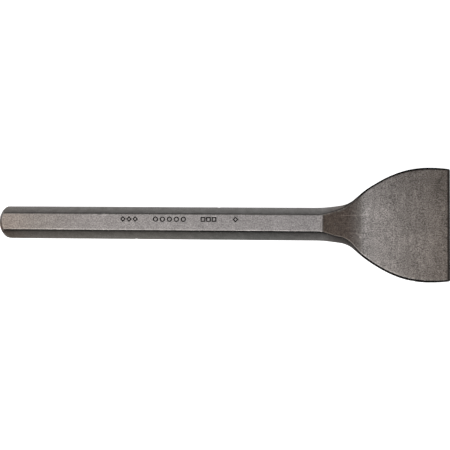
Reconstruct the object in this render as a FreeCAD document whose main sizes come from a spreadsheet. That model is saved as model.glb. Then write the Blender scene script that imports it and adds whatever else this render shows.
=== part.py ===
import FreeCAD, Part
import math
import os

import Sketcher
from FreeCAD import Placement, Rotation, Vector

# Brick bolster chisel, drop-forged in one piece from 3/4 inch hexagon bar.
# The steel is continuous from end to end. It is modelled as five zones that meet face to face:
# the struck head, the hexagonal shank, the forged neck, the spade-shaped blade and the ground edge.
#
# Modelling frame: X runs from the struck end towards the cutting edge, Z is square to the blade,
# and the bar's axis is Y = Z = 0. Each sub-part's Placement then moves the tool so that it lies
# on one flat of its hexagon, with the origin under the middle of its length.

NAMES_AND_SIZES = [
    ("total_length", 304.8),      # 12 inches, struck end to cutting edge
    ("across_flats", 19.05),      # 3/4 inch hexagon bar
    ("bar_corner_radius", 1.0),   # rolled corners of the bar, carried on as the parting edge
    ("crease_radius", 0.8),       # edges of the neck's and blade's broad faces
    ("head_length", 12.0),        # struck zone, left softer than the bar
    ("crown_radius", 14.0),       # dome of the struck face
    ("shoulder_radius", 6.0),     # turned shoulder between the dome and the bar
    ("shoulder_reach", 10.9),     # radius at which the shoulder runs out along the bar
    ("ramp_start", 221.2),        # where the hexagon's flats end
    ("ramp_end", 247.2),          # where the ramp meets the blade
    ("ramp_radius", 110.0),       # hollow of the ramp
    ("blade_root_half", 3.55),    # half the blade's thickness at the ramp
    ("blade_tip_half", 1.3),      # half the blade's thickness where the grinding starts
    ("bevel_start", 303.4),
    ("edge_land_half", 0.17),     # half the blunt land left on the ground edge
    ("side_draft", 30.0),         # degrees: the hexagon's sides, carried on round the blade
    ("flare_start", 216.5),       # where the sides begin to spread
    ("flare_radius", 105.0),      # first, gentle hollow of the sides
    ("throat_start", 233.2),
    ("throat_radius", 18.0),      # tight hollow at the throat
    ("flank_angle", 41.5),        # degrees: steepest part of the outline
    ("hip_radius", 80.0),         # long swell after the throat
    ("cheek_radius", 61.0),       # swell up to the widest place
    ("widest_at", 291.0),
    ("blade_width", 76.2),        # 3 inches across the widest place
    ("tail_radius", 105.0),       # slight draw-in towards the edge
    ("mark_depth", 0.3),          # stamped marks on the upper flat
    ("mark_height", 3.4),
    ("mark_offset", 2.1),         # the row of marks lies above the middle of the flat
    ("mark_stroke", 0.6),
    ("overrun", 12.0),            # how far construction shapes pass the steel they bound
]
SIZE = dict(NAMES_AND_SIZES)

# Rows of stamped marks, plain shapes only: shape, first centre from the struck end, pitch, count.
MARK_ROWS = [
    ("diamond", 88.2, 4.2, 3),
    ("ring", 110.4, 4.7, 5),
    ("square", 142.4, 3.7, 3),
    ("diamond", 164.1, 4.2, 1),
]

doc = FreeCAD.newDocument("brick_bolster_chisel")


def make_sheet():
    """The driving dimensions, one alias to a row."""
    sheet = doc.addObject("Spreadsheet::Sheet", "sizes")
    for row, (name, value) in enumerate(NAMES_AND_SIZES, start=1):
        sheet.set(f"A{row}", name)
        sheet.set(f"B{row}", str(value))
        sheet.setAlias(f"B{row}", name)
    doc.recompute()
    return sheet


def origin_plane(body, role):
    for feature in body.Origin.OriginFeatures:
        if feature.Role == role:
            return feature
    raise ValueError(f"no {role} in {body.Name}")


def place_in_tool_frame(part):
    """Lay the tool on its lower flat, with the origin under the middle of its length."""
    part.setExpression(".Placement.Base.x", "-sizes.total_length / 2")
    part.setExpression(".Placement.Base.z", "sizes.across_flats / 2")


def body_sketch(body, name, role, offset_x=None):
    sketch = body.newObject("Sketcher::SketchObject", name)
    sketch.AttachmentSupport = (origin_plane(body, role), "")
    sketch.MapMode = "FlatFace"
    if offset_x:
        sketch.setExpression(".AttachmentOffset.Base.z", offset_x)
    return sketch


def bind(sketch, kind, elements, value, name, expression):
    """Add one dimension to a sketch and drive it from the sheet."""
    index = sketch.addConstraint(Sketcher.Constraint(kind, *elements, value))
    sketch.renameConstraint(index, name)
    sketch.setExpression(f"Constraints.{name}", expression)


def draw_hexagon(sketch):
    """Regular hexagon with two flats square to the sketch's second axis."""
    side = SIZE["across_flats"] / math.sqrt(3)
    angles = [k * math.pi / 3 for k in range(6)]
    corners = [Vector(side * math.cos(angle), side * math.sin(angle), 0) for angle in angles]
    for k in range(6):
        sketch.addGeometry(Part.LineSegment(corners[k], corners[(k + 1) % 6]), False)
    circle = sketch.addGeometry(Part.Circle(Vector(0, 0, 0), Vector(0, 0, 1), side), True)
    for k in range(6):
        sketch.addConstraint(Sketcher.Constraint("Coincident", k, 2, (k + 1) % 6, 1))
        sketch.addConstraint(Sketcher.Constraint("PointOnObject", k, 1, circle))
    for k in range(1, 6):
        sketch.addConstraint(Sketcher.Constraint("Equal", 0, k))
    sketch.addConstraint(Sketcher.Constraint("Coincident", circle, 3, -1, 1))
    sketch.addConstraint(Sketcher.Constraint("Horizontal", 1))
    bind(sketch, "Radius", (circle,), side, "corner_circle", "sizes.across_flats / sqrt(3)")


def bar_edges(shape):
    """Names of the edges that run the whole length of a bar along X."""
    names = []
    for number, edge in enumerate(shape.Edges, start=1):
        start, end = edge.Vertexes[0].Point, edge.Vertexes[-1].Point
        if abs(abs(end.x - start.x) - edge.Length) < 1e-6:
            names.append(f"Edge{number}")
    return names


def make_bar(label, start, length):
    """A length of hexagon bar with rolled corners, as a body."""
    body = doc.addObject("PartDesign::Body", label)
    body.Label = label
    place_in_tool_frame(body)
    sketch = body_sketch(body, f"{label}_section", "YZ_Plane", start)
    draw_hexagon(sketch)
    pad = body.newObject("PartDesign::Pad", f"{label}_bar")
    pad.Profile = sketch
    pad.Type = "Length"
    pad.setExpression("Length", length)
    doc.recompute()
    corners = body.newObject("PartDesign::Fillet", f"{label}_corners")
    corners.Base = (pad, bar_edges(pad.Shape))
    corners.setExpression("Radius", "sizes.bar_corner_radius")
    doc.recompute()
    return body


def crown_points():
    """Places on the crown's outline, worked out from its two radii and its reach."""
    dome, shoulder = SIZE["crown_radius"], SIZE["shoulder_radius"]
    shoulder_centre_r = SIZE["shoulder_reach"] - shoulder
    turn = math.asin(shoulder_centre_r / (dome - shoulder))
    meet = Vector(dome * (1 - math.cos(turn)), dome * math.sin(turn), 0)
    shoulder_centre = Vector(dome - (dome - shoulder) * math.cos(turn), shoulder_centre_r, 0)
    return turn, meet, shoulder_centre


def make_striking_head():
    """End of the bar, turned to a crowned face with a round shoulder."""
    body = make_bar("striking_head", None, "sizes.head_length")
    sketch = body_sketch(body, "crown_outline", "XZ_Plane")
    turn, meet, shoulder_centre = crown_points()
    outside = SIZE["across_flats"]
    run_out = Vector(shoulder_centre.x, SIZE["shoulder_reach"], 0)
    far_corner = Vector(shoulder_centre.x, outside, 0)
    near_corner = Vector(-SIZE["overrun"], outside, 0)
    near_axis = Vector(-SIZE["overrun"], 0, 0)
    dome_circle = Part.Circle(Vector(SIZE["crown_radius"], 0, 0), Vector(0, 0, 1), SIZE["crown_radius"])
    shoulder_circle = Part.Circle(shoulder_centre, Vector(0, 0, 1), SIZE["shoulder_radius"])
    dome = sketch.addGeometry(Part.ArcOfCircle(dome_circle, math.pi - turn, math.pi), False)
    shoulder = sketch.addGeometry(Part.ArcOfCircle(shoulder_circle, math.pi / 2, math.pi - turn), False)
    back = sketch.addGeometry(Part.LineSegment(run_out, far_corner), False)
    top = sketch.addGeometry(Part.LineSegment(far_corner, near_corner), False)
    front = sketch.addGeometry(Part.LineSegment(near_corner, near_axis), False)
    axis = sketch.addGeometry(Part.LineSegment(near_axis, Vector(0, 0, 0)), False)
    sketch.addConstraint(Sketcher.Constraint("Coincident", axis, 2, dome, 2))
    sketch.addConstraint(Sketcher.Constraint("Coincident", dome, 2, -1, 1))
    sketch.addConstraint(Sketcher.Constraint("PointOnObject", dome, 3, -1))
    sketch.addConstraint(Sketcher.Constraint("Tangent", dome, 1, shoulder, 2))
    sketch.addConstraint(Sketcher.Constraint("Coincident", shoulder, 1, back, 1))
    sketch.addConstraint(Sketcher.Constraint("Coincident", back, 2, top, 1))
    sketch.addConstraint(Sketcher.Constraint("Coincident", top, 2, front, 1))
    sketch.addConstraint(Sketcher.Constraint("Coincident", front, 2, axis, 1))
    sketch.addConstraint(Sketcher.Constraint("Vertical", shoulder, 1, shoulder, 3))
    sketch.addConstraint(Sketcher.Constraint("Vertical", back))
    sketch.addConstraint(Sketcher.Constraint("Horizontal", top))
    sketch.addConstraint(Sketcher.Constraint("Vertical", front))
    sketch.addConstraint(Sketcher.Constraint("Horizontal", axis))
    bind(sketch, "Radius", (dome,), SIZE["crown_radius"], "dome", "sizes.crown_radius")
    bind(sketch, "Radius", (shoulder,), SIZE["shoulder_radius"], "shoulder", "sizes.shoulder_radius")
    bind(sketch, "DistanceY", (-1, 1, shoulder, 1), SIZE["shoulder_reach"], "reach", "sizes.shoulder_reach")
    bind(sketch, "DistanceX", (axis,), SIZE["overrun"], "clearance", "sizes.overrun")
    bind(sketch, "DistanceY", (-1, 1, top, 1), outside, "outside", "sizes.across_flats")
    groove = body.newObject("PartDesign::Groove", "crown")
    groove.Profile = sketch
    groove.ReferenceAxis = (sketch, ["H_Axis"])
    groove.Angle = 360
    return body


def draw_closed(sketch, points):
    """Straight-sided closed outline; each corner is pinned where it is drawn."""
    first = sketch.GeometryCount
    count = len(points)
    for k in range(count):
        sketch.addGeometry(Part.LineSegment(points[k], points[(k + 1) % count]), False)
    for k in range(count):
        sketch.addConstraint(Sketcher.Constraint("Coincident", first + k, 2, first + (k + 1) % count, 1))
        sketch.addConstraint(Sketcher.Constraint("Block", first + k))


def draw_square_mark(sketch, centre, reach, corner_angle):
    """Square outline of even stroke; corner_angle 45 gives a square, 0 a diamond."""
    inner_reach = reach - SIZE["mark_stroke"] * math.sqrt(2)
    for radius in (reach, inner_reach):
        angles = [math.radians(corner_angle + 90 * k) for k in range(4)]
        draw_closed(sketch, [centre + Vector(radius * math.cos(a), radius * math.sin(a), 0) for a in angles])


def draw_ring_mark(sketch, centre, radius):
    for ring_radius in (radius, radius - SIZE["mark_stroke"]):
        circle = Part.Circle(centre, Vector(0, 0, 1), ring_radius)
        ring = sketch.addGeometry(circle, False)
        sketch.addConstraint(Sketcher.Constraint("Block", ring))


def draw_marks(sketch):
    """Four rows of plain stamped shapes along the upper flat."""
    half = SIZE["mark_height"] / 2
    for shape, first, pitch, count in MARK_ROWS:
        for k in range(count):
            centre = Vector(first + k * pitch, SIZE["mark_offset"], 0)
            if shape == "ring":
                draw_ring_mark(sketch, centre, half)
            elif shape == "square":
                draw_square_mark(sketch, centre, half * math.sqrt(2) * 0.9, 45)
            else:
                draw_square_mark(sketch, centre, half * 1.1, 0)


def make_hex_shank():
    """The bar between the head and the neck, with its stamped marks."""
    body = make_bar("hex_shank", "sizes.head_length", "sizes.ramp_start - sizes.head_length")
    sketch = body_sketch(body, "marks", "XY_Plane", "sizes.across_flats / 2")
    draw_marks(sketch)
    doc.recompute()
    plain_volume = body.Shape.Volume
    pocket = body.newObject("PartDesign::Pocket", "stamped_marks")
    pocket.Profile = sketch
    pocket.Type = "Length"
    pocket.setExpression("Length", "sizes.mark_depth")
    doc.recompute()
    if body.Shape.Volume > plain_volume - 1:
        raise ValueError("the stamped marks cut nothing")
    return body


def rounding_loss():
    """How far a rolled corner stands inside the sharp corner of the hexagon."""
    return SIZE["bar_corner_radius"] * (2 / math.sqrt(3) - 1)


def tangent_arc(start, heading, radius, turn):
    """Arc that leaves start along heading and turns by turn radians, positive to the left.

    Returns the arc, its far end and the heading there.
    """
    side = 1 if turn > 0 else -1
    centre = start + Vector(-math.sin(heading), math.cos(heading), 0) * (radius * side)
    circle = Part.Circle(centre, Vector(0, 0, 1), radius)
    from_angle = heading - side * math.pi / 2
    to_angle = from_angle + turn
    end = centre + Vector(math.cos(to_angle), math.sin(to_angle), 0) * radius
    arc = Part.ArcOfCircle(circle, min(from_angle, to_angle), max(from_angle, to_angle))
    return arc, end, heading + turn


def outline_chain():
    """One side of the tool's outline as tangent pieces: each with its near and its far end's number."""
    flank = math.radians(SIZE["flank_angle"])
    hip, cheek = SIZE["hip_radius"], SIZE["cheek_radius"]
    bar_half = SIZE["across_flats"] / math.sqrt(3)
    start = Vector(SIZE["ramp_start"] - SIZE["overrun"], bar_half, 0)
    flare_start = Vector(SIZE["flare_start"], bar_half, 0)
    flare_turn = math.asin((SIZE["throat_start"] - SIZE["flare_start"]) / SIZE["flare_radius"])
    flare, throat_start, heading = tangent_arc(flare_start, 0, SIZE["flare_radius"], flare_turn)
    throat, flank_start, heading = tangent_arc(throat_start, heading, SIZE["throat_radius"], flank - heading)

    # The widest place fixes both the flank's length and how the turn is shared by hip and cheek.
    across = SIZE["widest_at"] - flank_start.x
    rise = SIZE["blade_width"] / 2 + rounding_loss() - flank_start.y
    gap = across * math.sin(flank) - rise * math.cos(flank)
    hip_turn = math.acos((gap - hip + cheek * math.cos(flank)) / (cheek - hip))
    cheek_turn = flank - hip_turn
    spread = hip * (math.sin(flank) - math.sin(cheek_turn)) + cheek * math.sin(cheek_turn)
    flank_length = (across - spread) / math.cos(flank)
    hip_start = flank_start + Vector(math.cos(flank), math.sin(flank), 0) * flank_length

    hip_arc, cheek_start, heading = tangent_arc(hip_start, flank, hip, -hip_turn)
    cheek_arc, tail_start, heading = tangent_arc(cheek_start, heading, cheek, -cheek_turn)
    tail_reach = SIZE["total_length"] + SIZE["overrun"] - SIZE["widest_at"]
    tail_turn = math.asin(tail_reach / SIZE["tail_radius"])
    tail_arc = tangent_arc(tail_start, 0, SIZE["tail_radius"], -tail_turn)[0]
    return [
        (Part.LineSegment(start, flare_start), 1, 2),
        (flare, 1, 2),
        (throat, 1, 2),
        (Part.LineSegment(flank_start, hip_start), 1, 2),
        (hip_arc, 2, 1),
        (cheek_arc, 2, 1),
        (tail_arc, 2, 1),
    ]


def mirrored(piece):
    """The same line or arc on the other side of the sketch's first axis."""
    if isinstance(piece, Part.LineSegment):
        start, end = piece.StartPoint, piece.EndPoint
        return Part.LineSegment(Vector(start.x, -start.y, 0), Vector(end.x, -end.y, 0))
    centre = Vector(piece.Center.x, -piece.Center.y, 0)
    circle = Part.Circle(centre, Vector(0, 0, 1), piece.Radius)
    return Part.ArcOfCircle(circle, -piece.LastParameter, -piece.FirstParameter)


def draw_mirrored_outline(sketch, chain):
    """Draw a chain, its mirror image below the first axis, and the two lines that close them."""
    count = len(chain)
    for piece, near, far in chain:
        sketch.addGeometry(piece, False)
    for k, (piece, near, far) in enumerate(chain):
        sketch.addGeometry(mirrored(piece), False)
        is_arc = isinstance(piece, Part.ArcOfCircle)
        image_near, image_far = (far, near) if is_arc else (near, far)
        if k == 0:
            sketch.addConstraint(Sketcher.Constraint("Symmetric", k, near, count + k, image_near, -1))
            first_near = image_near
        else:
            sketch.addConstraint(
                Sketcher.Constraint("Coincident", count + k - 1, previous_far, count + k, image_near)
            )
        sketch.addConstraint(Sketcher.Constraint("Symmetric", k, far, count + k, image_far, -1))
        if is_arc:
            sketch.addConstraint(Sketcher.Constraint("Equal", k, count + k))
        previous_far = image_far
    ends = ((0, chain[0][1], count, first_near), (count - 1, chain[-1][2], 2 * count - 1, previous_far))
    for upper, upper_point, lower, lower_point in ends:
        line = sketch.addGeometry(
            Part.LineSegment(sketch.getPoint(upper, upper_point), sketch.getPoint(lower, lower_point)), False
        )
        sketch.addConstraint(Sketcher.Constraint("Coincident", line, 1, upper, upper_point))
        sketch.addConstraint(Sketcher.Constraint("Coincident", line, 2, lower, lower_point))


def make_outline():
    """The tool's outline seen square to the blade, at the height of the hexagon's side corners."""
    sketch = doc.addObject("Sketcher::SketchObject", "outline")
    chain = outline_chain()
    draw_mirrored_outline(sketch, chain)
    bar, flare, throat, flank, hip, cheek, tail = range(7)
    for k in range(6):
        sketch.addConstraint(Sketcher.Constraint("Tangent", k, chain[k][2], k + 1, chain[k + 1][1]))
    sketch.addConstraint(Sketcher.Constraint("Horizontal", bar))
    sketch.addConstraint(Sketcher.Constraint("Vertical", tail, 2, tail, 3))
    rounding = "sizes.bar_corner_radius * (2 / sqrt(3) - 1)"
    across = [
        ("start", bar, 1, "sizes.ramp_start - sizes.overrun"),
        ("flare_start", bar, 2, "sizes.flare_start"),
        ("throat_start", flare, 2, "sizes.throat_start"),
        ("widest_at", tail, 2, "sizes.widest_at"),
        ("end", tail, 1, "sizes.total_length + sizes.overrun"),
    ]
    for name, element, point, expression in across:
        value = sketch.getPoint(element, point).x
        bind(sketch, "DistanceX", (-1, 1, element, point), value, name, expression)
    for name, element, point, expression in (
        ("bar_half", bar, 1, "sizes.across_flats / sqrt(3)"),
        ("blade_half", tail, 2, f"sizes.blade_width / 2 + {rounding}"),
    ):
        value = sketch.getPoint(element, point).y
        bind(sketch, "DistanceY", (-1, 1, element, point), value, name, expression)
    arcs = {"flare": flare, "throat": throat, "hip": hip, "cheek": cheek, "tail": tail}
    for name, element in arcs.items():
        bind(sketch, "Radius", (element,), SIZE[f"{name}_radius"], name, f"sizes.{name}_radius")
    lean = math.radians(SIZE["flank_angle"])
    bind(sketch, "Angle", (flank,), lean, "flank_angle", "sizes.flank_angle * 1 deg")
    return sketch


def make_side_profile():
    """The tool seen from its side: the bar, the hollow ramp, the tapering blade and the ground bevels."""
    sketch = doc.addObject("Sketcher::SketchObject", "side_profile")
    sketch.Placement = Placement(Vector(0, 0, 0), Rotation(Vector(1, 0, 0), 90))
    half_bar = SIZE["across_flats"] / 2
    bar_start = Vector(SIZE["ramp_start"] - SIZE["overrun"], half_bar, 0)
    ramp_start = Vector(SIZE["ramp_start"], half_bar, 0)
    ramp_end = Vector(SIZE["ramp_end"], SIZE["blade_root_half"], 0)
    bevel_start = Vector(SIZE["bevel_start"], SIZE["blade_tip_half"], 0)
    edge = Vector(SIZE["total_length"], SIZE["edge_land_half"], 0)

    chord = ramp_end - ramp_start
    chord_angle = math.atan2(chord.y, chord.x)
    half_turn = math.asin(chord.Length / 2 / SIZE["ramp_radius"])
    ramp = tangent_arc(ramp_start, chord_angle - half_turn, SIZE["ramp_radius"], 2 * half_turn)[0]
    chain = [
        (Part.LineSegment(bar_start, ramp_start), 1, 2),
        (ramp, 1, 2),
        (Part.LineSegment(ramp_end, bevel_start), 1, 2),
        (Part.LineSegment(bevel_start, edge), 1, 2),
    ]
    draw_mirrored_outline(sketch, chain)
    for k in range(3):
        sketch.addConstraint(Sketcher.Constraint("Coincident", k, 2, k + 1, 1))
    places = [
        ("bar_start", 0, 1, "sizes.ramp_start - sizes.overrun", "sizes.across_flats / 2"),
        ("ramp_start", 1, 1, "sizes.ramp_start", "sizes.across_flats / 2"),
        ("ramp_end", 2, 1, "sizes.ramp_end", "sizes.blade_root_half"),
        ("bevel_start", 3, 1, "sizes.bevel_start", "sizes.blade_tip_half"),
        ("edge", 3, 2, "sizes.total_length", "sizes.edge_land_half"),
    ]
    for name, element, point, along, height in places:
        place = sketch.getPoint(element, point)
        bind(sketch, "DistanceX", (-1, 1, element, point), place.x, f"{name}_x", along)
        bind(sketch, "DistanceY", (-1, 1, element, point), place.y, f"{name}_z", height)
    bind(sketch, "Radius", (1,), SIZE["ramp_radius"], "ramp_radius", "sizes.ramp_radius")
    return sketch


def extrude(name, sketch, direction, half_depth, draft=None):
    """A sketch pushed the same way to both sides, its sides leaning in by draft where one is given."""
    extrusion = doc.addObject("Part::Extrusion", name)
    extrusion.Base = sketch
    extrusion.DirMode = "Custom"
    extrusion.Dir = direction
    extrusion.Solid = True
    for end in ("Fwd", "Rev"):
        extrusion.setExpression(f"Length{end}", half_depth)
    if draft:
        extrusion.setExpression("TaperAngle", draft)
        extrusion.setExpression("TaperAngleRev", draft)
    return extrusion


def make_forged_end():
    """The whole spread end of the forging, before it is divided into zones."""
    upward, sideways = Vector(0, 0, 1), Vector(0, 1, 0)
    half_bar = "sizes.across_flats / 2"
    drafted = extrude("drafted_outline", make_outline(), upward, half_bar, "-sizes.side_draft")
    profile = extrude("extruded_profile", make_side_profile(), sideways, "sizes.blade_width")
    common = doc.addObject("Part::MultiCommon", "forged_end")
    common.Shapes = [drafted, profile]
    doc.recompute()
    return common


def make_zone(name, forged_end, start, end):
    """The part of the forged end between two cross-sections."""
    slab = doc.addObject("Part::Box", f"{name}_slab")
    slab.setExpression("Length", f"{end} - {start}")
    slab.setExpression("Width", "2 * sizes.blade_width")
    slab.setExpression("Height", "2 * sizes.across_flats")
    slab.setExpression(".Placement.Base.x", start)
    slab.setExpression(".Placement.Base.y", "-sizes.blade_width")
    slab.setExpression(".Placement.Base.z", "-sizes.across_flats")
    zone = doc.addObject("Part::MultiCommon", name)
    zone.Label = name
    zone.Shapes = [forged_end, slab]
    doc.recompute()
    return zone


def long_edges(shape):
    """Numbers of the parting edges and of the broad faces' edges, which all run from end to end."""
    parting, crease = [], []
    for number, edge in enumerate(shape.Edges, start=1):
        start, end = edge.Vertexes[0].Point, edge.Vertexes[-1].Point
        heights = sorted((abs(start.z), abs(end.z)))
        if abs(start.x - end.x) < 1e-3:
            continue
        if heights[1] < 1e-3:
            parting.append(number)
        elif heights[0] > 1e-3:
            crease.append(number)
    return parting, crease


def make_rounded_zone(label, forged_end, start, end):
    """A zone whose parting edges and broad faces' edges are rounded as forged."""
    zone = make_zone(f"{label}_sharp", forged_end, start, end)
    parting, crease = long_edges(zone.Shape)
    rounded = doc.addObject("Part::Fillet", label)
    rounded.Label = label
    rounded.Base = zone
    parting_radius = float(doc.sizes.bar_corner_radius)
    crease_radius = float(doc.sizes.crease_radius)
    rounded.Edges = [(number, parting_radius, parting_radius) for number in parting] + [
        (number, crease_radius, crease_radius) for number in crease
    ]
    place_in_tool_frame(rounded)
    return rounded


def check_document():
    failed = [o.Name for o in doc.Objects if {"Invalid", "Error"} & set(o.State)]
    if failed:
        raise ValueError(f"failed objects: {failed}")


def write_steps(parts):
    os.makedirs("parts", exist_ok=True)
    for part in parts:
        shape = part.Shape
        if shape.isNull() or not shape.isValid():
            raise ValueError(f"{part.Label} has no valid shape")
        shape.exportStep(f"parts/{part.Label}.step")
        print(f"{part.Label}: {shape.Volume / 1000:.2f} cm3, {len(shape.Solids)} solid")


make_sheet()
striking_head = make_striking_head()
hex_shank = make_hex_shank()
forged_end = make_forged_end()
neck = make_rounded_zone("neck", forged_end, "sizes.ramp_start", "sizes.ramp_end")
blade = make_rounded_zone("blade", forged_end, "sizes.ramp_end", "sizes.bevel_start")
cutting_edge = make_zone("cutting_edge", forged_end, "sizes.bevel_start", "sizes.total_length")
place_in_tool_frame(cutting_edge)
doc.recompute()
check_document()
write_steps([striking_head, hex_shank, neck, blade, cutting_edge])
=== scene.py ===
import math

import bpy
import numpy as np
from mathutils import Matrix, Vector, noise


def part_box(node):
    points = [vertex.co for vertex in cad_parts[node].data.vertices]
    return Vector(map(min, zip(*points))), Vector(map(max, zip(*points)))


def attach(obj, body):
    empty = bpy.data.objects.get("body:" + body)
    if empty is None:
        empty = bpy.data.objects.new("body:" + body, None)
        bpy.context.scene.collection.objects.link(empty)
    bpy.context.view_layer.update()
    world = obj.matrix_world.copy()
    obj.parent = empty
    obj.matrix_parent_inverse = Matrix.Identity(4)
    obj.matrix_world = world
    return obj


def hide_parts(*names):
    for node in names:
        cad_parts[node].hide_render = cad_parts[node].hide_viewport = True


# Brick bolster chisel: the looks. One smooth surface is worked out for the whole forging, station by
# station along its length, and is then cut at the CAD zones' ends, so that the pieces meet exactly.
# Lengths in this script are millimetres; s is the distance from the struck end.

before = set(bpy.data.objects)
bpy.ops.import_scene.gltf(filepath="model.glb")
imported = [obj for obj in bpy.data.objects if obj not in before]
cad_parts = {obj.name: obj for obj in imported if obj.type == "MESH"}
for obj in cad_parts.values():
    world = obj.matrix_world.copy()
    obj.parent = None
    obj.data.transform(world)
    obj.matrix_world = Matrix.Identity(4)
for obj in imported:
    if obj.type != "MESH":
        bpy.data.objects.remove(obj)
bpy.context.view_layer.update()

MM = 0.001


def node_box(name):
    """Lowest and highest corner of a CAD node, in millimetres."""
    low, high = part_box(name)
    return low / MM, high / MM


# ---------------------------------------------------------------- sizes, from the frame

HEAD_LOW, HEAD_HIGH = node_box("striking_head")
SHANK_LOW, SHANK_HIGH = node_box("hex_shank")
NECK_LOW, NECK_HIGH = node_box("neck")
BLADE_LOW, BLADE_HIGH = node_box("blade")
EDGE_LOW, EDGE_HIGH = node_box("cutting_edge")

START_X = HEAD_LOW.x
LENGTH = EDGE_HIGH.x - START_X
HEAD_END = HEAD_HIGH.x - START_X
FLATS_END = SHANK_HIGH.x - START_X
RAMP_END = NECK_HIGH.x - START_X
BEVEL_START = BLADE_HIGH.x - START_X
AXIS_Z = (SHANK_LOW.z + SHANK_HIGH.z) / 2
HALF_BAR = (SHANK_HIGH.z - SHANK_LOW.z) / 2
ROOT_HALF = (BLADE_HIGH.z - BLADE_LOW.z) / 2
TIP_HALF = (EDGE_HIGH.z - EDGE_LOW.z) / 2
HALF_BLADE = BLADE_HIGH.y

# ---------------------------------------------------------------- sizes, of the finer shape

BAR_CORNER = 1.0            # rolled corners of the bar
PARTING_CORNER = 0.45       # rounding along the parting line, and along the bar's widest edges
SHARP_EXTRA = BAR_CORNER * (2 / math.sqrt(3) - 1)
BAR_SIDE_HALF = HALF_BAR * 2 / math.sqrt(3)

CROWN_RADIUS = 14.1
CROWN_OFFSET = 0.3          # the crown is ground a little off the bar's axis
CROWN_START = 0.55
RIM_ROUNDING = 0.38
RIM_WORN = 0.9              # the rim is rounder by this much on the near side,
RIM_RUN = 2.0               # and runs out this much further along the bar there
SIDE_BULGE = 90.0           # radius of the slightly full side faces of the bar

RAMP_RADIUS = 110.0
EDGE_LAND_HALF = 0.17
RAMP_LATE = 0.3             # both creases of the ramp lie a little further on than the zone's ends
FOOT_LATE = 0.5
CREASE_FILL = 0.05          # the crease at the foot of the ramp is a little filled
BEVEL_EARLY = 0.5           # grinding breaks the blade's surface a little before the bevel proper

FLARE_START = 216.5
FLARE_RADIUS = 105.0
THROAT_START = 233.2
THROAT_RADIUS = 18.0
FLANK_ANGLE = math.radians(41.5)
HIP_RADIUS = 80.0
CHEEK_RADIUS = 61.0
WIDEST_AT = 291.0
TAIL_RADIUS = 105.0
EDGE_CORNER = 1.0           # rounding of the blade's two corners
EDGE_SLANT = 0.003          # the cutting edge is ground a little off square, longer on the near side
BLADE_TRIM = 0.35           # the trimmed outline runs a little inside the dies' outline
NECK_FULLER = 0.2           # and the neck's root is a little fuller
NECK_FULLER_AT = 231.0

HEX_DRAFT = math.radians(30)
BLADE_DRAFT = math.radians(8)

MARK_DEPTH = 0.3
MARK_OFFSET = 2.1
MARK_HALF = 1.7
MARK_STROKE = 0.6
MARK_ROWS = [               # shape, first centre, pitch, count
    ("diamond", 88.2, 4.2, 3),
    ("ring", 110.4, 4.7, 5),
    ("square", 142.4, 3.7, 3),
    ("diamond", 164.1, 4.2, 1),
]


def smooth(value, low, high):
    """0 before low, 1 after high, and a soft step between."""
    t = np.clip((value - low) / (high - low), 0, 1)
    return t * t * (3 - 2 * t)


# ---------------------------------------------------------------- outline and thickness


class Arc:
    """Circular stretch of an outline that starts at a point along a heading; bend is 1 for a hollow."""

    def __init__(self, s, y, heading, radius, bend):
        self.centre_s = s - bend * radius * math.sin(heading)
        self.centre_y = y + bend * radius * math.cos(heading)
        self.radius = radius
        self.bend = bend

    def at(self, s):
        across = np.clip(s - self.centre_s, -self.radius, self.radius)
        return self.centre_y - self.bend * np.sqrt(self.radius**2 - across**2)

    def place(self, heading):
        """Where the arc has that heading."""
        s = self.centre_s + self.bend * self.radius * math.sin(heading)
        return s, self.centre_y - self.bend * self.radius * math.cos(heading)


def outline():
    """The pieces of the half outline, as (start, function of s)."""
    flare = Arc(FLARE_START, BAR_SIDE_HALF, 0, FLARE_RADIUS, 1)
    throat_heading = math.asin((THROAT_START - FLARE_START) / FLARE_RADIUS)
    throat = Arc(THROAT_START, float(flare.at(THROAT_START)), throat_heading, THROAT_RADIUS, 1)
    flank_s, flank_y = throat.place(FLANK_ANGLE)
    widest = HALF_BLADE + SHARP_EXTRA
    gap = (WIDEST_AT - flank_s) * math.sin(FLANK_ANGLE) - (widest - flank_y) * math.cos(FLANK_ANGLE)
    turn = math.acos((gap - HIP_RADIUS + CHEEK_RADIUS * math.cos(FLANK_ANGLE)) / (CHEEK_RADIUS - HIP_RADIUS))
    cheek = Arc(WIDEST_AT, widest, 0, CHEEK_RADIUS, -1)
    cheek_s, cheek_y = cheek.place(FLANK_ANGLE - turn)
    hip = Arc(cheek_s, cheek_y, FLANK_ANGLE - turn, HIP_RADIUS, -1)
    hip_s, _ = hip.place(FLANK_ANGLE)
    tail = Arc(WIDEST_AT, widest, 0, TAIL_RADIUS, -1)
    return [
        (0.0, lambda s: np.full_like(s, BAR_SIDE_HALF)),
        (FLARE_START, flare.at),
        (THROAT_START, throat.at),
        (flank_s, lambda s: flank_y + (s - flank_s) * math.tan(FLANK_ANGLE)),
        (hip_s, hip.at),
        (cheek_s, cheek.at),
        (WIDEST_AT, tail.at),
    ]


OUTLINE = outline()


def half_width(s):
    """Half the width at the parting line, before its edge is rounded."""
    width = np.zeros_like(s)
    for start, piece in OUTLINE:
        width = np.where(s >= start, piece(s), width)
    fuller = NECK_FULLER * np.exp(-(((s - NECK_FULLER_AT) / 8) ** 2))
    trimmed = BLADE_TRIM * smooth(s, 246, 258)
    into_corner = np.clip((s - (LENGTH - EDGE_CORNER)) / EDGE_CORNER, 0, 1)
    return width + fuller - trimmed - EDGE_CORNER * (1 - np.sqrt(1 - 0.98 * into_corner**2))


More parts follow.
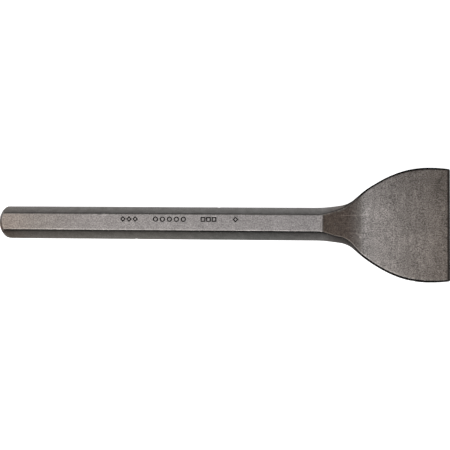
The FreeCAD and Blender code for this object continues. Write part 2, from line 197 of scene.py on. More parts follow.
def half_height(s):
    """Half the thickness: the bar, the hollow ramp, the tapering blade and the bevel."""
    top, foot, turn_over = FLATS_END + RAMP_LATE, RAMP_END + FOOT_LATE, BEVEL_START - BEVEL_EARLY
    chord = math.hypot(foot - top, HALF_BAR - ROOT_HALF)
    fall = math.atan2(ROOT_HALF - HALF_BAR, foot - top)
    ramp = Arc(top, HALF_BAR, fall - math.asin(chord / 2 / RAMP_RADIUS), RAMP_RADIUS, 1)
    blade = np.interp(s, [foot, turn_over, LENGTH], [ROOT_HALF, TIP_HALF, EDGE_LAND_HALF])
    forged = np.where(s <= foot, ramp.at(s), blade)
    soft_crease = CREASE_FILL * np.exp(-(((s - foot) / 0.8) ** 2))
    return np.where(s <= top, HALF_BAR, forged + soft_crease)


def side_reach(s, height):
    """How far the side faces lean in over the half thickness: the hexagon's lean, then the blade's."""
    lean = HEX_DRAFT + (BLADE_DRAFT - HEX_DRAFT) * smooth(s, 233, 252)
    return height * np.tan(lean) + 0.25 * smooth(s, 244, 252) + 0.2 * smooth(s, 260, 290)


def die_shift(s):
    """The upper die struck slightly off line, which moves the broad face's edges sideways."""
    return 1.0 * smooth(s, 228, 240) - 0.65 * smooth(s, 244, 258)


# ---------------------------------------------------------------- the surface

TOP_STEPS = 84
BOTTOM_STEPS = 24
SIDE_SHARES = (0.04, 0.1, 0.25, 0.5, 0.75, 0.9, 0.96)
CORNER_STEPS = 5
PARTING_WEAR = 0.35         # the parting edges are rubbed less, as if they lay this far from a corner


def section_corners(s):
    """The six sharp corners of each station's section, as an array of (station, corner, y and z)."""
    width, height = half_width(s), half_height(s)
    reach = side_reach(s, height)
    shift = np.minimum(die_shift(s), 0.75 * reach)
    left, right = width - reach + shift, width - reach - shift
    none = np.zeros_like(s)
    corners = [
        (width, none),
        (left, height),
        (-right, height),
        (-width, none),
        (-left, -height),
        (right, -height),
    ]
    return np.stack([np.stack(corner, axis=-1) for corner in corners], axis=1)


def corner_radii(s):
    """Rounding of the same six corners: the parting edges, and the broad faces' edges."""
    parting = np.full_like(s, PARTING_CORNER)
    soft = BAR_CORNER - 0.1 + 1.1 * smooth(s, 222, 232) - 1.0 * smooth(s, 240, 256)
    crisp = BAR_CORNER - 0.1 - 0.5 * smooth(s, 219, 230) + 0.6 * smooth(s, 244, 256)
    return np.stack([parting, soft, crisp, parting, soft, crisp], axis=1)


def unit(v):
    return v / np.maximum(np.linalg.norm(v, axis=-1, keepdims=True), 1e-9)


def section_rings(s):
    """Points round each station's section, and each point's distance from the nearest rounded corner."""
    corners, radii = section_corners(s), corner_radii(s)
    arcs = []
    for k in range(6):
        here, before, after = corners[:, k], corners[:, k - 1], corners[:, (k + 1) % 6]
        to_before, to_after = unit(before - here), unit(after - here)
        half_angle = np.arccos(np.clip((to_before * to_after).sum(-1), -1, 1)) / 2
        room = np.minimum(
            np.linalg.norm(before - here, axis=-1), np.linalg.norm(after - here, axis=-1)
        )
        setback = np.minimum(radii[:, k] / np.tan(half_angle), 0.42 * room)
        radius = setback * np.tan(half_angle)
        centre = here + unit(to_before + to_after) * (radius / np.sin(half_angle))[:, None]
        first = here + to_before * setback[:, None] - centre
        last = here + to_after * setback[:, None] - centre
        turn = math.pi - 2 * half_angle
        arc = []
        for t in np.linspace(0, 1, CORNER_STEPS):
            share_first = np.sin((1 - t) * turn) / np.sin(turn)
            share_last = np.sin(t * turn) / np.sin(turn)
            arc.append(centre + first * share_first[:, None] + last * share_last[:, None])
        arcs.append(arc)
    shares = [SIDE_SHARES] * 6
    shares[1] = np.arange(1, TOP_STEPS) / TOP_STEPS
    shares[4] = np.arange(1, BOTTOM_STEPS) / BOTTOM_STEPS
    points, distances = [], []
    for k in range(6):
        points += arcs[k]
        distances += [np.full_like(s, PARTING_WEAR if k in (0, 3) else 0.0)] * CORNER_STEPS
        start, end = arcs[k][-1], arcs[(k + 1) % 6][0]
        length = np.linalg.norm(end - start, axis=-1)
        across = unit(end - start)
        outward = np.stack([across[:, 1], -across[:, 0]], axis=-1)
        fullness = 0 if k in (1, 4) else length**2 / (8 * SIDE_BULGE)
        for t in shares[k]:
            bulge = outward * np.reshape(4 * t * (1 - t) * fullness, (-1, 1))
            points.append(start + (end - start) * t + bulge)
            distances.append(length * min(t, 1 - t))
    return np.stack(points, axis=1), np.stack(distances, axis=1)


def ring_zones():
    """Zones of the upper half as arrays over one ring, for shades().

    They are the painted shade along the lines outside the bar's crease edges, the near one darker; the
    painted shade on both rounded corners of the blade's upper face, its dark outline; where the near
    side face is, for its painted shade; and how much lighter the side faces are towards their outer edges.
    """
    crease_shade = np.zeros(6 * CORNER_STEPS + 4 * len(SIDE_SHARES) + TOP_STEPS + BOTTOM_STEPS - 2)
    blade, near_side, fade = crease_shade.copy(), crease_shade.copy(), crease_shade.copy()
    far_corner = CORNER_STEPS + len(SIDE_SHARES)
    near_corner = far_corner + CORNER_STEPS + TOP_STEPS - 1
    near_face = near_corner + CORNER_STEPS
    crease_shade[near_corner : near_corner + 7] = (0, 0.3, 0.85, 1, 1, 0.85, 0.4)
    crease_shade[far_corner - 1 : far_corner + 3] = (0.5, 0.75, 0.7, 0.2)
    blade[near_corner : near_corner + 7] = (0.2, 0.8, 1, 1, 1, 1, 1)
    blade[far_corner - 2 : far_corner + CORNER_STEPS] = 1
    near_side[near_face - 2 : near_face + len(SIDE_SHARES)] = 1
    fade[CORNER_STEPS:far_corner] = (0.1, 0.14, 0.09, 0.03, -0.06, -0.12, -0.12)
    fade[near_face : near_face + len(SIDE_SHARES)] = (0, -0.15, -0.17, -0.03, 0.1, 0.16, 0.1)
    return crease_shade, blade, near_side, fade


def crown_depth(y, z):
    """How far back from the struck end the crown's surface lies."""
    from_middle = np.minimum(np.hypot(y - CROWN_OFFSET, z), 0.97 * CROWN_RADIUS)
    return CROWN_START + CROWN_RADIUS - np.sqrt(CROWN_RADIUS**2 - from_middle**2)


def head_rings():
    """Rings from the middle of the struck face over the rim to the end of the head zone."""
    ring, corner_distance = section_rings(np.array([HEAD_END]))
    ring, corner_distance = ring[0], corner_distance[0]
    reach = np.linalg.norm(ring, axis=-1)
    rim = crown_depth(*ring.T)
    worn = smooth(-ring[:, 0], 7, 10)
    rounding = RIM_ROUNDING + RIM_WORN * worn
    run = rounding + RIM_RUN * worn
    inner = 1 - rounding / reach
    inner_s = crown_depth(*(ring.T * inner))
    rows = []
    for t in np.linspace(0.02, 1, 30):
        rows.append((inner * t, crown_depth(*(ring.T * inner * t)), reach * (1 - inner * t)))
    for t in np.linspace(0, 1, 7)[1:]:
        share = (1 - t) ** 2 * inner + 1 - (1 - t) ** 2
        s = (1 - t) ** 2 * inner_s + 2 * t * (1 - t) * rim + t**2 * (rim + run)
        rows.append((share, s, np.zeros_like(s)))
    for t in np.linspace(0, 1, 16)[1:]:
        s = rim + run + (HEAD_END - rim - run) * t
        rows.append((np.ones_like(s), s, np.minimum(s - rim, corner_distance)))
    points = [np.column_stack([s, ring * share[:, None]]) for share, s, _ in rows]
    return np.stack(points), np.stack([wear for _, _, wear in rows])


def spaced(start, end, step):
    return list(np.linspace(start, end, max(2, int(round((end - start) / step)) + 1)))


def stations():
    """Stations along the shank, neck, blade and edge: close together where there is detail."""
    places = []
    marked_from = HEAD_END
    for _, first, pitch, count in MARK_ROWS:
        low, high = first - 2.3, first + pitch * (count - 1) + 2.3
        places += spaced(marked_from, low, 1.1)[:-1] + spaced(low, high, 0.17)[:-1]
        marked_from = high
    places += spaced(marked_from, FLATS_END - 0.5, 0.9)
    places += spaced(FLATS_END - 0.25, FLATS_END + 1, 0.125)
    places += spaced(FLATS_END + 1.4, RAMP_END - 0.4, 0.42)
    places += spaced(RAMP_END, RAMP_END + 1.6, 0.2)
    places += spaced(RAMP_END + 2.1, BEVEL_START - BEVEL_EARLY - 0.3, 0.6)
    places += spaced(BEVEL_START - BEVEL_EARLY - 0.1, BEVEL_START, 0.16)
    places += spaced(BEVEL_START + 0.17, LENGTH - 0.12, 0.17)
    places += [LENGTH - 0.04, LENGTH]
    return np.array(places)


def bar_rings(s):
    ring, wear = section_rings(s)
    slant = EDGE_SLANT * smooth(s, WIDEST_AT, BEVEL_START)
    along = s[:, None, None] - slant[:, None, None] * ring[..., :1]
    lines = np.full(len(s), 1e3)
    for crease in (FLATS_END, RAMP_END, BEVEL_START, LENGTH):
        lines = np.minimum(lines, np.abs(s - crease))
    return np.concatenate([along, ring], axis=-1), wear, lines


# ---------------------------------------------------------------- fine relief


def mark_depths(s, y):
    """Depth of the stamped marks at points of the upper flat."""
    depth = np.zeros_like(s)
    for shape, first, pitch, count in MARK_ROWS:
        for k in range(count):
            ds, dy = s - first - k * pitch, y - MARK_OFFSET
            if shape == "ring":
                outside = np.hypot(ds, dy) - MARK_HALF
            elif shape == "square":
                outside = np.maximum(np.abs(ds), np.abs(dy)) - 0.9 * MARK_HALF
            else:
                outside = (np.abs(ds) + np.abs(dy) - 1.1 * MARK_HALF) / math.sqrt(2)
            from_stroke = np.abs(outside + MARK_STROKE / 2) - MARK_STROKE / 2
            depth = np.maximum(depth, MARK_DEPTH * (1 - smooth(from_stroke, -0.22, 0.1)))
            lip = 0.05 * np.exp(-((from_stroke - 0.2) / 0.14) ** 2)
            depth = depth - lip * (depth < 0.02)
    return depth


GHOST_LINES = [             # start and end of each faint die line on the ramp: s, y, s, y, height
    (231.0, 5.6, 251.0, 6.2, 0.11),
    (236.0, -5.5, 251.0, -7.1, 0.09),
    (224.0, 1.0, 244.0, 1.5, 0.04),
    (228.0, -2.5, 250.0, -3.4, 0.03),
]


def ghost_ridges(s, y):
    """Faint lines that continue the hexagon's edges down the ramp."""
    height = np.zeros_like(s)
    for s0, y0, s1, y1, tall in GHOST_LINES:
        middle = y0 + (s - s0) * (y1 - y0) / (s1 - s0)
        fade = smooth(s, s0, s0 + 5) * (1 - smooth(s, s1 - 5, s1))
        height += tall * fade * np.exp(-(((y - middle) / 0.3) ** 2))
    return height


DENTS = [                   # s, y, z, radius, depth: small nicks where the tool has been knocked about
    (72.8, 5.6, 9.5, 0.5, 0.22),
    (42.0, -5.5, 9.5, 0.6, 0.25),
    (26.0, 5.6, 9.5, 0.4, 0.15),
    (118.0, -5.6, 9.5, 0.5, 0.15),
    (187.0, -5.5, 9.5, 0.5, 0.15),
    (201.0, 5.4, 9.5, 0.5, 0.15),
    (96.0, -10.9, 0.0, 0.9, 0.25),
    (152.0, 10.9, 0.0, 0.8, 0.2),
    (268.0, 33.4, 0.0, 0.9, 0.25),
    (281.0, -37.2, 0.0, 0.8, 0.25),
    (304.7, 21.0, 0.0, 0.5, 0.2),
    (304.7, -9.0, 0.0, 0.4, 0.15),
    (304.7, -30.5, 0.0, 0.6, 0.2),
]


def unevenness(points):
    """Low swells left by rolling and by the dies, stronger on the forged end."""
    flat = points.reshape(-1, 3)
    forged = smooth(flat[:, 0], FLATS_END - 4, RAMP_END)
    ground = smooth(flat[:, 0], BEVEL_START - 1.5, BEVEL_START)
    swell = np.array([noise.noise(Vector(p) / 14.0) for p in flat])
    ripple = np.array([noise.noise(Vector(p) / 3.1 + Vector((7, 3, 1))) for p in flat])
    height = swell * (0.02 + 0.07 * forged) + ripple * (0.006 + 0.014 * forged)
    return (height * (1 - 0.85 * ground)).reshape(points.shape[:2])


PATCHES = [                 # s, y, half length, half width, gain: lighter and darker patches, small ones near the edges, broad ones on the blade
    (45.5, -5.2, 1.2, 0.6, 0.9),
    (68.8, 5.0, 1.2, 0.5, 0.9),
    (75.6, 5.0, 1.6, 0.5, 1.0),
    (173.0, -5.2, 5.0, 0.5, 0.5),
    (197.0, -5.2, 4.0, 0.5, 0.6),
    (202.0, -1.5, 1.5, 0.6, 0.35),
    (275.0, -11.5, 38.0, 8.0, 0.20),
    (298.5, 23.0, 7.0, 11.0, -0.20),
    (288.5, 12.0, 4.5, 10.0, 0.14),
    (275.0, 31.0, 9.0, 8.0, -0.14),
    (257.0, 9.0, 10.0, 4.0, 0.14),
    (284.0, -2.0, 9.0, 5.0, -0.12),
    (256.0, 19.0, 7.0, 6.0, -0.12),
    (278.0, 38.0, 50.0, 16.0, -0.11),
    (302.0, 9.0, 2.5, 6.0, 0.12),
    (290.0, -22.0, 12.0, 8.0, 0.08),
    (298.0, 9.0, 10.0, 5.0, 0.08),
    (254.0, -17.0, 8.0, 5.0, -0.12),
    (246.4, -8.6, 0.7, 0.6, 1.4),
    (249.5, 7.0, 1.2, 0.9, 0.35),
]


PAINTED_EDGE_LIGHT_AND_SHADE = [             # s and gain of the painted highlight along the upper face's near edge, darker where the gain is below 0
    (0, -0.3),
    (12, -0.15),
    (35, 0.15),
    (120, 0.15),
    (160, 0.0),
    (216, 0.0),
    (224, 0.6),
    (240, 0.65),
    (248, 0.5),
    (256, 0.3),
    (278, 0.25),
    (290, 0.05),
]


def shades(points, marks, corner_distance):
    """How much lighter or darker the steel is at each point: lighter and darker patches, painted highlights
    along the near edge and the ramp's faint lines, and painted shade along the crease lines, the rim, the
    blade's outline and in the stamped marks.
    """
    s, y, z = points[..., 0], points[..., 1], points[..., 2]
    shade = np.ones_like(s)
    for s0, y0, long, wide, gain in PATCHES:
        shade *= 1 + gain * np.exp(-(((s - s0) / long) ** 2) - ((y - y0) / wide) ** 2) * (z > 0)
    # Painted highlight along the faint die lines on the ramp.
    shade *= 1 + 5 * ghost_ridges(s, y) * (z > 0)
    # The upper face's edges: a painted highlight along the near edge, and painted shade along the far edge
    # of the forged end.
    by_corner = np.exp(-((corner_distance / 0.5) ** 2)) * (z > 0.1)
    shade *= 1 + np.interp(s, *zip(*PAINTED_EDGE_LIGHT_AND_SHADE)) * by_corner * (y < 0)
    shade *= 1 - 0.5 * by_corner * (y > 0) * smooth(s, 222, 248)
    # Painted shade on the bar's rim and crease lines, and bands on its side faces, all ending where the
    # blade's dark outline begins.
    crease_shade, blade, near_side, fade = ring_zones()
    past_rim = smooth(s - crown_depth(y, z), 0.05, 0.5)
    before_blade = 1 - smooth(s, 238, 248)
    # Painted shade on the rim's near side.
    shade *= 1 - 0.8 * (1 - past_rim) * smooth(-y, 5, 9)
    # Painted shade along the bar's crease lines.
    shade *= 1 - (0.85 + 0.1 * smooth(s, 40, 120)) * crease_shade * past_rim * before_blade
    shade *= 1 + fade * past_rim * before_blade
    # Painted shade on the near side face of the neck.
    shade *= 1 - 0.33 * near_side * smooth(s, 222, 232) * before_blade
    # Painted shade on the blade's rounded upper corners, for its dark outline.
    shade *= 1 - 0.95 * blade * smooth(s, 240, 248)
    # Painted shade in the stamped marks.
    return shade * (1 - 0.98 * smooth(marks, 0.03, 0.4))


def surface_normals(points):
    """Outward normals of a grid of stations by ring points."""
    along = np.gradient(points, axis=0)
    ahead, behind = np.roll(points, -1, axis=1), np.roll(points, 1, axis=1)
    return unit(np.cross(ahead - behind, along))


def add_relief(points):
    """Move a grid of points along its normals by the fine relief; also give the share of mark depth."""
    s, y, z = points[..., 0], points[..., 1], points[..., 2]
    normals = surface_normals(points)
    outward = (normals[..., 1] * y + normals[..., 2] * z).sum() > 0
    if not outward:
        normals = -normals
    height = unevenness(points)
    height += ghost_ridges(s, y) * (z > 0)
    for ds, dy, dz, radius, depth in DENTS:
        away = np.sqrt((s - ds) ** 2 + (y - dy) ** 2 + (z - dz) ** 2)
        height -= depth * np.exp(-((away / radius) ** 2))
    moved = points + normals * height[..., None]
    on_flat = (z > HALF_BAR - 0.02) & (s < FLATS_END)
    marks = np.where(on_flat, mark_depths(s, y), 0)
    moved[..., 2] -= marks
    return moved, marks / MARK_DEPTH


# ---------------------------------------------------------------- meshes


def make_piece(name, points, values, node, open_pole=False):
    """One closed solid from a grid of rings, with flat ends, and values at its points for the material."""
    rows, around = points.shape[:2]
    places = points.reshape(-1, 3)
    first_middle = points[0].mean(axis=0)
    if open_pole:
        first_middle = np.array([float(crown_depth(0.0, 0.0)), 0.0, 0.0])
    last_middle = points[-1].mean(axis=0)
    vertices = np.vstack([places, first_middle, last_middle])
    vertices = (vertices + np.array([START_X, 0, AXIS_Z])) * MM
    faces = []
    for row in range(rows - 1):
        for k in range(around):
            a, b = row * around + k, row * around + (k + 1) % around
            faces.append((a, b, b + around, a + around))
    pole, end = rows * around, rows * around + 1
    for k in range(around):
        faces.append((pole, (k + 1) % around, k))
        last = (rows - 1) * around
        faces.append((end, last + k, last + (k + 1) % around))
    mesh = bpy.data.meshes.new(name)
    mesh.from_pydata([tuple(v) for v in vertices], [], faces)
    mesh.update()
    face_out_normals(mesh)
    mesh.shade_smooth()
    sharp_rims = [(rows - 1) * around] if open_pole else [0, (rows - 1) * around]
    mark_sharp_rims(mesh, sharp_rims, around)
    for title, (grid, at_middles) in values.items():
        attribute = mesh.attributes.new(title, "FLOAT", "POINT")
        flat = np.append(grid.reshape(-1), [at_middles, at_middles])
        attribute.data.foreach_set("value", flat.astype(np.float32))
    piece = bpy.data.objects.new(name, mesh)
    bpy.context.scene.collection.objects.link(piece)
    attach(piece, "root")
    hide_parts(node)
    return piece


def face_out_normals(mesh):
    """Turn the faces round if the solid is inside out."""
    mesh.calc_loop_triangles()
    places = np.array([v.co for v in mesh.vertices])
    triangles = np.array([t.vertices for t in mesh.loop_triangles])
    a, b, c = (places[triangles[:, k]] for k in range(3))
    if (a * np.cross(b, c)).sum() < 0:
        mesh.flip_normals()


def mark_sharp_rims(mesh, rims, around):
    """Keep the flat ends' edges crisp."""
    on_rim = np.zeros(len(mesh.vertices), bool)
    for start in rims:
        on_rim[start : start + around] = True
    for edge in mesh.edges:
        a, b = edge.vertices
        if on_rim[a] and on_rim[b] and abs(a - b) in (1, around - 1):
            edge.use_edge_sharp = True


def make_forging():
    """All five zones of the forging, as pieces."""
    head, head_wear = head_rings()
    s = stations()
    bar, bar_wear, lines = bar_rings(s)
    points, marks = add_relief(np.concatenate([head, bar[1:]]))
    shade = shades(points, marks, np.concatenate([head_wear, bar_wear[1:]]))
    wear = np.concatenate([head_wear, np.minimum(bar_wear, lines[:, None] * 1.5)[1:]])
    rows = np.concatenate([np.full(len(head), HEAD_END), s[1:]])
    rows[: len(head) - 1] = 0
    zones = [
        ("head_forging", 0.0, HEAD_END, "struck_head", "striking_head"),
        ("shank_bar", HEAD_END, FLATS_END, "shank_scale", "hex_shank"),
        ("neck_forging", FLATS_END, RAMP_END, "neck_scale", "neck"),
        ("blade_forging", RAMP_END, BEVEL_START, "blade_scale", "blade"),
        ("edge_bevel", BEVEL_START, LENGTH, "ground_edge", "cutting_edge"),
    ]
    pieces = {}
    for name, start, end, slot, node in zones:
        inside = (rows >= start - 1e-6) & (rows <= end + 1e-6)
        values = {"corner_distance": (wear[inside], 5.0), "shade": (shade[inside], 1.0)}
        pieces[slot] = make_piece(name, points[inside], values, node, open_pole=start == 0)
    return pieces


# ---------------------------------------------------------------- materials


class Tree:
    """A short way to write shader nodes: each call adds one node and returns the socket asked for."""

    def __init__(self, tree):
        self.tree = tree
        tree.nodes.clear()

    def node(self, kind, inputs, out=0, **settings):
        node = self.tree.nodes.new(kind)
        for key, value in settings.items():
            setattr(node, key, value)
        for key, value in inputs.items():
            if isinstance(value, bpy.types.NodeSocket):
                self.tree.links.new(value, node.inputs[key])
            else:
                node.inputs[key].default_value = value
        return node.outputs[out]

    def noise(self, feature_mm, detail=3.0, roughness=0.55, stretch=(1, 1, 1)):
        """Noise whose lumps are about feature_mm across; a small stretch draws them out along that axis."""
        coordinates = self.node("ShaderNodeTexCoord", {}, out="Object")
        place = self.node("ShaderNodeMapping", {"Vector": coordinates, "Scale": stretch})
        scale = 1 / (feature_mm * MM)
        inputs = {"Vector": place, "Scale": scale, "Detail": detail, "Roughness": roughness}
        return self.node("ShaderNodeTexNoise", inputs)

    def ramp(self, value, low, high, to_low=0.0, to_high=1.0, soft=True):
        inputs = {"Value": value, "From Min": low, "From Max": high, "To Min": to_low, "To Max": to_high}
        kind = "SMOOTHSTEP" if soft else "LINEAR"
        return self.node("ShaderNodeMapRange", inputs, interpolation_type=kind)

    def math(self, operation, a, b=0.0, c=0.0):
        return self.node("ShaderNodeMath", {0: a, 1: b, 2: c}, operation=operation)

    def mix(self, factor, a, b, blend="MIX"):
        inputs = {0: factor, 6: a, 7: b}
        settings = {"data_type": "RGBA", "blend_type": blend, "clamp_result": True}
        return self.node("ShaderNodeMix", inputs, out=2, **settings)

    def attribute(self, name):
        return self.node("ShaderNodeAttribute", {}, out="Fac", attribute_name=name)

    def part(self, coordinate, axis):
        """One part of the place ("Object") or of the direction the surface faces ("Normal")."""
        vector = self.node("ShaderNodeTexCoord", {}, out=coordinate)
        return self.node("ShaderNodeSeparateXYZ", {"Vector": vector}, out=axis)

    def along(self):
        """Distance from the struck end in millimetres."""
        return self.math("MULTIPLY_ADD", self.part("Object", "X"), 1 / MM, -START_X)

    def by_distance(self, stops):
        """A colour that changes along the tool, from (distance in millimetres, colour) stops."""
        place = self.math("DIVIDE", self.along(), LENGTH)
        node = self.tree.nodes.new("ShaderNodeValToRGB")
        self.tree.links.new(place, node.inputs["Fac"])
        elements = node.color_ramp.elements
        while len(elements) < len(stops):
            elements.new(0.5)
        for element, (distance, colour) in zip(elements, stops):
            element.position = distance / LENGTH
            element.color = (*colour, 1)
        return node.outputs["Color"]

    def bump(self, height, depth_mm, strength=1.0, below=None):
        inputs = {"Height": height, "Distance": depth_mm * MM, "Strength": strength}
        if below is not None:
            inputs["Normal"] = below
        return self.node("ShaderNodeBump", inputs)

    def surface(self, inputs):
        """Close the material with one Principled surface."""
        surface = self.node("ShaderNodeBsdfPrincipled", inputs)
        output = self.tree.nodes.new("ShaderNodeOutputMaterial")
        self.tree.links.new(surface, output.inputs["Surface"])


def new_material(name):
    material = bpy.data.materials.new(name)
    material.use_nodes = True
    return material, Tree(material.node_tree)


# Reflectance of the scale, from the struck end on: on the broad upper and lower faces, and on the side
# faces that look away from the camera and towards it. The near side faces are painted darker, painted
# shade, and browner; from the neck on, both side faces are painted nearly black, painted shade for the
# blade's dark outline.
BROAD_FACES = [
    (0, (0.210, 0.174, 0.151)),
    (28, (0.182, 0.162, 0.148)),
    (60, (0.192, 0.175, 0.168)),
    (120, (0.204, 0.190, 0.185)),
    (215, (0.190, 0.178, 0.176)),
    (FLATS_END + 0.2, (0.190, 0.176, 0.172)),
    (FLATS_END + 0.6, (0.163, 0.128, 0.106)),
    (RAMP_END - 9, (0.131, 0.105, 0.091)),
    (RAMP_END, (0.187, 0.171, 0.161)),
    (RAMP_END + 0.9, (0.236, 0.219, 0.211)),
    (RAMP_END + 12, (0.219, 0.200, 0.190)),
    (RAMP_END + 30, (0.176, 0.157, 0.145)),
    (BEVEL_START, (0.149, 0.127, 0.112)),
]
FAR_SIDES_WITH_SHADE = [
    (0, (0.185, 0.172, 0.163)),
    (30, (0.182, 0.174, 0.168)),
    (180, (0.180, 0.176, 0.172)),
    (FLATS_END, (0.182, 0.176, 0.172)),
    (RAMP_END - 13, (0.171, 0.156, 0.148)),
    (RAMP_END - 6, (0.110, 0.103, 0.098)),
    (RAMP_END, (0.035, 0.031, 0.029)),
    (BEVEL_START, (0.028, 0.025, 0.023)),
]
NEAR_SIDES_WITH_SHADE = [
    (0, (0.136, 0.108, 0.091)),
    (12, (0.162, 0.138, 0.122)),
    (27, (0.174, 0.158, 0.145)),
    (67, (0.187, 0.175, 0.160)),
    (105, (0.193, 0.184, 0.170)),
    (182, (0.162, 0.161, 0.154)),
    (FLATS_END, (0.168, 0.160, 0.155)),
    *FAR_SIDES_WITH_SHADE[-4:],
]


def forged_steel(name, grain=0.5, grain_mm=0.95, smudges=0.0):
    """Steel under thin forge scale: mottled, finely grained and pitted, with burnish along its corners; its
    side-face colours and the shade attribute add painted light and shade.
    """
    material, t = new_material(name)
    # The way the surface faces picks its colour, so the side faces carry painted shade.
    broad = t.ramp(t.math("ABSOLUTE", t.part("Normal", "Z")), 0.8, 0.9)
    near = t.ramp(t.part("Normal", "Y"), -0.2, 0.2, 1.0, 0.0)
    colour = t.mix(near, t.by_distance(FAR_SIDES_WITH_SHADE), t.by_distance(NEAR_SIDES_WITH_SHADE))
    colour = t.mix(broad, colour, t.by_distance(BROAD_FACES))
    grain_noise = t.noise(grain_mm, detail=2.0, roughness=0.65)
    grain_here = t.ramp(broad, 0, 1, 0.4 * grain, grain)
    shade = t.math("MULTIPLY_ADD", t.ramp(grain_noise, 0.32, 0.72, -0.8, 1.1, soft=False), grain_here, 1.0)
    shade = t.math("MULTIPLY", shade, t.ramp(t.noise(4.5, detail=4), 0.3, 0.7, 0.9, 1.1))
    shade = t.math("MULTIPLY", shade, t.attribute("shade"))
    if smudges:
        streaks = t.noise(3.0, detail=3, stretch=(1, 0.2, 1))
        shade = t.math("MULTIPLY", shade, t.ramp(streaks, 0.3, 0.7, 1 - smudges, 1 + smudges))
    colour = t.mix(1.0, colour, shade, "MULTIPLY")
    pits = t.ramp(t.noise(0.8, detail=1.0), 0.69, 0.76)
    colour = t.mix(t.math("MULTIPLY", pits, 0.5), colour, (0.04, 0.035, 0.03, 1))
    specks = t.ramp(t.noise(0.8, detail=0.5, stretch=(1.0, 1.3, 1.0)), 0.7, 0.78)
    colour = t.mix(t.math("MULTIPLY", specks, 0.45), colour, (0.45, 0.42, 0.4, 1))
    # The burnish along the corners is real wear, scaled by the shade attribute, so it also carries that
    # attribute's painted highlight and painted shade.
    rubbed_and_highlit = t.ramp(t.attribute("corner_distance"), 0.0, 0.45, 1.0, 0.0)
    rubbed_and_highlit = t.math("MULTIPLY", rubbed_and_highlit, t.attribute("shade"))
    patchy = t.ramp(t.noise(2.2, detail=3), 0.38, 0.62, 0.2, 1.0)
    burnish_and_highlight = t.math("MULTIPLY", t.math("MULTIPLY", rubbed_and_highlit, patchy), 0.4)
    colour = t.mix(burnish_and_highlight, colour, (0.36, 0.34, 0.32, 1))
    rough = t.ramp(grain_noise, 0.3, 0.7, 0.3, 0.4)
    rough = t.math("SUBTRACT", rough, t.math("MULTIPLY", burnish_and_highlight, 0.1))
    fine = t.bump(grain_noise, 0.03, 0.8)
    pitted = t.bump(pits, -0.05, 0.7, below=fine)
    swells = t.bump(t.noise(2.8, detail=3), 0.05, 0.8, below=pitted)
    # The specular tint follows the colour, so painted shade also dims the reflections there.
    sheen = t.mix(1.0, colour, (5, 5, 5, 1), "MULTIPLY")
    inputs = {
        "Base Color": colour,
        "Metallic": 0.85,
        "Roughness": rough,
        "Specular Tint": sheen,
        "Normal": swells,
    }
    t.surface(inputs)
    return material


def ground_steel(name):
    """Steel ground square to the edge, its colour painted nearly black as painted shade of the steep bevel,
    lighter and darker in patches.
    """
    material, t = new_material(name)
    lines = t.noise(0.25, detail=3, stretch=(0.1, 1, 0.1))
    tone_patches = t.ramp(t.noise(4.0, detail=3), 0.35, 0.65)
    # Both colours are painted nearly black: painted shade of the bevel.
    colour = t.mix(tone_patches, (0.047, 0.038, 0.033, 1), (0.068, 0.058, 0.052, 1))
    colour = t.mix(1.0, colour, t.ramp(lines, 0.3, 0.7, 0.82, 1.18, soft=False), "MULTIPLY")
    rough = t.ramp(lines, 0.3, 0.7, 0.27, 0.4)
    inputs = {
        "Base Color": colour,
        "Metallic": 1.0,
        "Roughness": rough,
        "Normal": t.bump(lines, 0.02, 0.9),
    }
    t.surface(inputs)
    return material


def dress(pieces):
    """Each zone's material."""
    materials = {
        "struck_head": forged_steel("struck_head"),
        "shank_scale": forged_steel("shank_scale"),
        "neck_scale": forged_steel("neck_scale", grain=0.4),
        "blade_scale": forged_steel("blade_scale", grain=0.7, grain_mm=0.75, smudges=0.12),
        "ground_edge": ground_steel("ground_edge"),
    }
    for slot, material in materials.items():
        pieces[slot].data.materials.append(material)


# ---------------------------------------------------------------- floor, light and camera

CAMERA_DISTANCE = 700.0
CAMERA_TURN = (0.1111, -0.0658)     # how far the line of sight leans towards +X and towards -Y
CAMERA_ROLL = 0.01428
CAMERA_AIM = (3.7, -0.95)
PIXELS_PER_MM = 1.4874              # scale of the picture at the aim
PICTURE_WIDTH = 450
SENSOR_WIDTH = 36

FLOOR_HALF = 6.0                    # metres, as are the next two
FLOOR_GAP = 0.0002
DOME_RADIUS = 5.5


def make_floor():
    mesh = bpy.data.meshes.new("floor")
    half = FLOOR_HALF
    corners = [(-half, -half, 0), (half, -half, 0), (half, half, 0), (-half, half, 0)]
    mesh.from_pydata(corners, [], [(0, 1, 2, 3)])
    floor = bpy.data.objects.new("floor", mesh)
    floor.location.z = -FLOOR_GAP
    bpy.context.scene.collection.objects.link(floor)
    material, t = new_material("floor_white")
    inputs = {
        "Base Color": (0.6, 0.6, 0.6, 1),
        "Roughness": 0.9,
        "Emission Color": (1, 1, 1, 1),
        "Emission Strength": 0.9,
    }
    t.surface(inputs)
    mesh.materials.append(material)
    floor.visible_diffuse = False
    floor.visible_glossy = False


def make_backdrop():
    """A white dome that only the camera sees, so that every view has the same plain background."""
    bpy.ops.mesh.primitive_uv_sphere_add(segments=48, ring_count=24, radius=DOME_RADIUS)
    dome = bpy.context.object
    dome.name = "backdrop"
    material, t = new_material("backdrop_white")
    t.surface({"Base Color": (0, 0, 0, 1), "Emission Color": (1, 1, 1, 1), "Emission Strength": 1.0})
    dome.data.materials.append(material)
    for ray in ("diffuse", "glossy", "transmission", "volume_scatter", "shadow"):
        setattr(dome, "visible_" + ray, False)


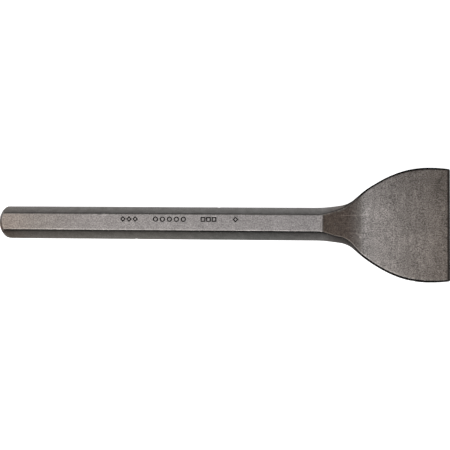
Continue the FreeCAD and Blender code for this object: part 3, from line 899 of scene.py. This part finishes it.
# Soft panels of light on the sphere of directions. For each panel: its strength, and for each of the
# direction's x, y and z the values where it starts, is full, is still full, and has ended.
EVERYWHERE = (-3, -2, 2, 3)
PANELS = {
    "overhead": (3.0, (-0.9, -0.5, 0.04, 0.17), (-0.5, -0.36, 0.02, 0.26), (0.2, 0.4, 2, 3)),
    "near_strip": (3.4, (-0.9, -0.5, 0.04, 0.17), (-0.5, -0.42, -0.28, -0.14), (0.2, 0.4, 2, 3)),
    "neck_strip": (1.6, (0.04, 0.17, 0.45, 0.7), (-0.5, -0.42, -0.28, -0.14), (0.2, 0.4, 2, 3)),
    "tip_side": (0.2, (0.0, 0.16, 0.6, 0.85), (-0.5, -0.36, 0.3, 0.6), (0.1, 0.3, 2, 3)),
    "far_side": (0.5, EVERYWHERE, (0.15, 0.4, 2, 3), (-0.2, 0.1, 2, 3)),
    "near_side": (0.4, EVERYWHERE, (-3, -2, -0.5, -0.3), (-0.2, 0.1, 2, 3)),
    "horizon": (1.0, (-3, -2, 0.3, 0.7), EVERYWHERE, (-0.1, 0.02, 0.36, 0.56)),
    "blade_end": (0.5, (0.3, 0.7, 2, 3), EVERYWHERE, (-0.1, 0.02, 0.36, 0.56)),
    "far_floor": (1.3, EVERYWHERE, (0.4, 0.7, 2, 3), (-0.8, -0.68, -0.58, -0.36)),
    "near_floor": (0.9, EVERYWHERE, (-3, -2, -0.7, -0.4), (-0.86, -0.7, -0.52, -0.28)),
    "struck_end_floor": (0.9, (-3, -2, -0.7, -0.4), EVERYWHERE, (-0.9, -0.8, -0.45, -0.25)),
}
AMBIENT = 0.03


def make_light():
    """A soft studio: broad soft patches of light, the largest overhead, and dark between them."""
    world = bpy.data.worlds.new("studio")
    bpy.context.scene.world = world
    world.use_nodes = True
    t = Tree(world.node_tree)
    direction = t.node("ShaderNodeTexCoord", {}, out="Generated")
    parts = [t.node("ShaderNodeSeparateXYZ", {"Vector": direction}, out=axis) for axis in "XYZ"]
    total = AMBIENT
    for strength, *spans in PANELS.values():
        light = strength
        for part, (start, full, still, end) in zip(parts, spans):
            light = t.math("MULTIPLY", light, t.ramp(part, start, full))
            light = t.math("MULTIPLY", light, t.ramp(part, still, end, 1, 0))
        total = t.math("ADD", total, light)
    background = t.node("ShaderNodeBackground", {"Strength": total})
    output = t.tree.nodes.new("ShaderNodeOutputWorld")
    t.tree.links.new(background, output.inputs["Surface"])


def make_camera():
    """Nearly straight above, leaning a little to the blade's end and to the near side."""
    lean_x, lean_y = CAMERA_TURN
    back = Vector((lean_x, lean_y, math.sqrt(1 - lean_x**2 - lean_y**2)))
    right = Vector((0, 1, 0)).cross(back).normalized()
    up = back.cross(right)
    turned_right = right * math.cos(CAMERA_ROLL) + up * math.sin(CAMERA_ROLL)
    turned_up = up * math.cos(CAMERA_ROLL) - right * math.sin(CAMERA_ROLL)
    aim = Vector((CAMERA_AIM[0], CAMERA_AIM[1], AXIS_Z)) * MM
    place = aim + back * (CAMERA_DISTANCE * MM)
    data = bpy.data.cameras.new("camera")
    data.sensor_width = SENSOR_WIDTH
    data.lens = SENSOR_WIDTH / PICTURE_WIDTH * PIXELS_PER_MM * CAMERA_DISTANCE
    camera = bpy.data.objects.new("camera", data)
    camera.matrix_world = Matrix(
        [
            (turned_right.x, turned_up.x, back.x, place.x),
            (turned_right.y, turned_up.y, back.y, place.y),
            (turned_right.z, turned_up.z, back.z, place.z),
            (0, 0, 0, 1),
        ]
    )
    bpy.context.scene.collection.objects.link(camera)
    bpy.context.scene.camera = camera


bpy.context.scene.view_settings.view_transform = "Standard"
make_camera()
make_light()
make_floor()
make_backdrop()
dress(make_forging())
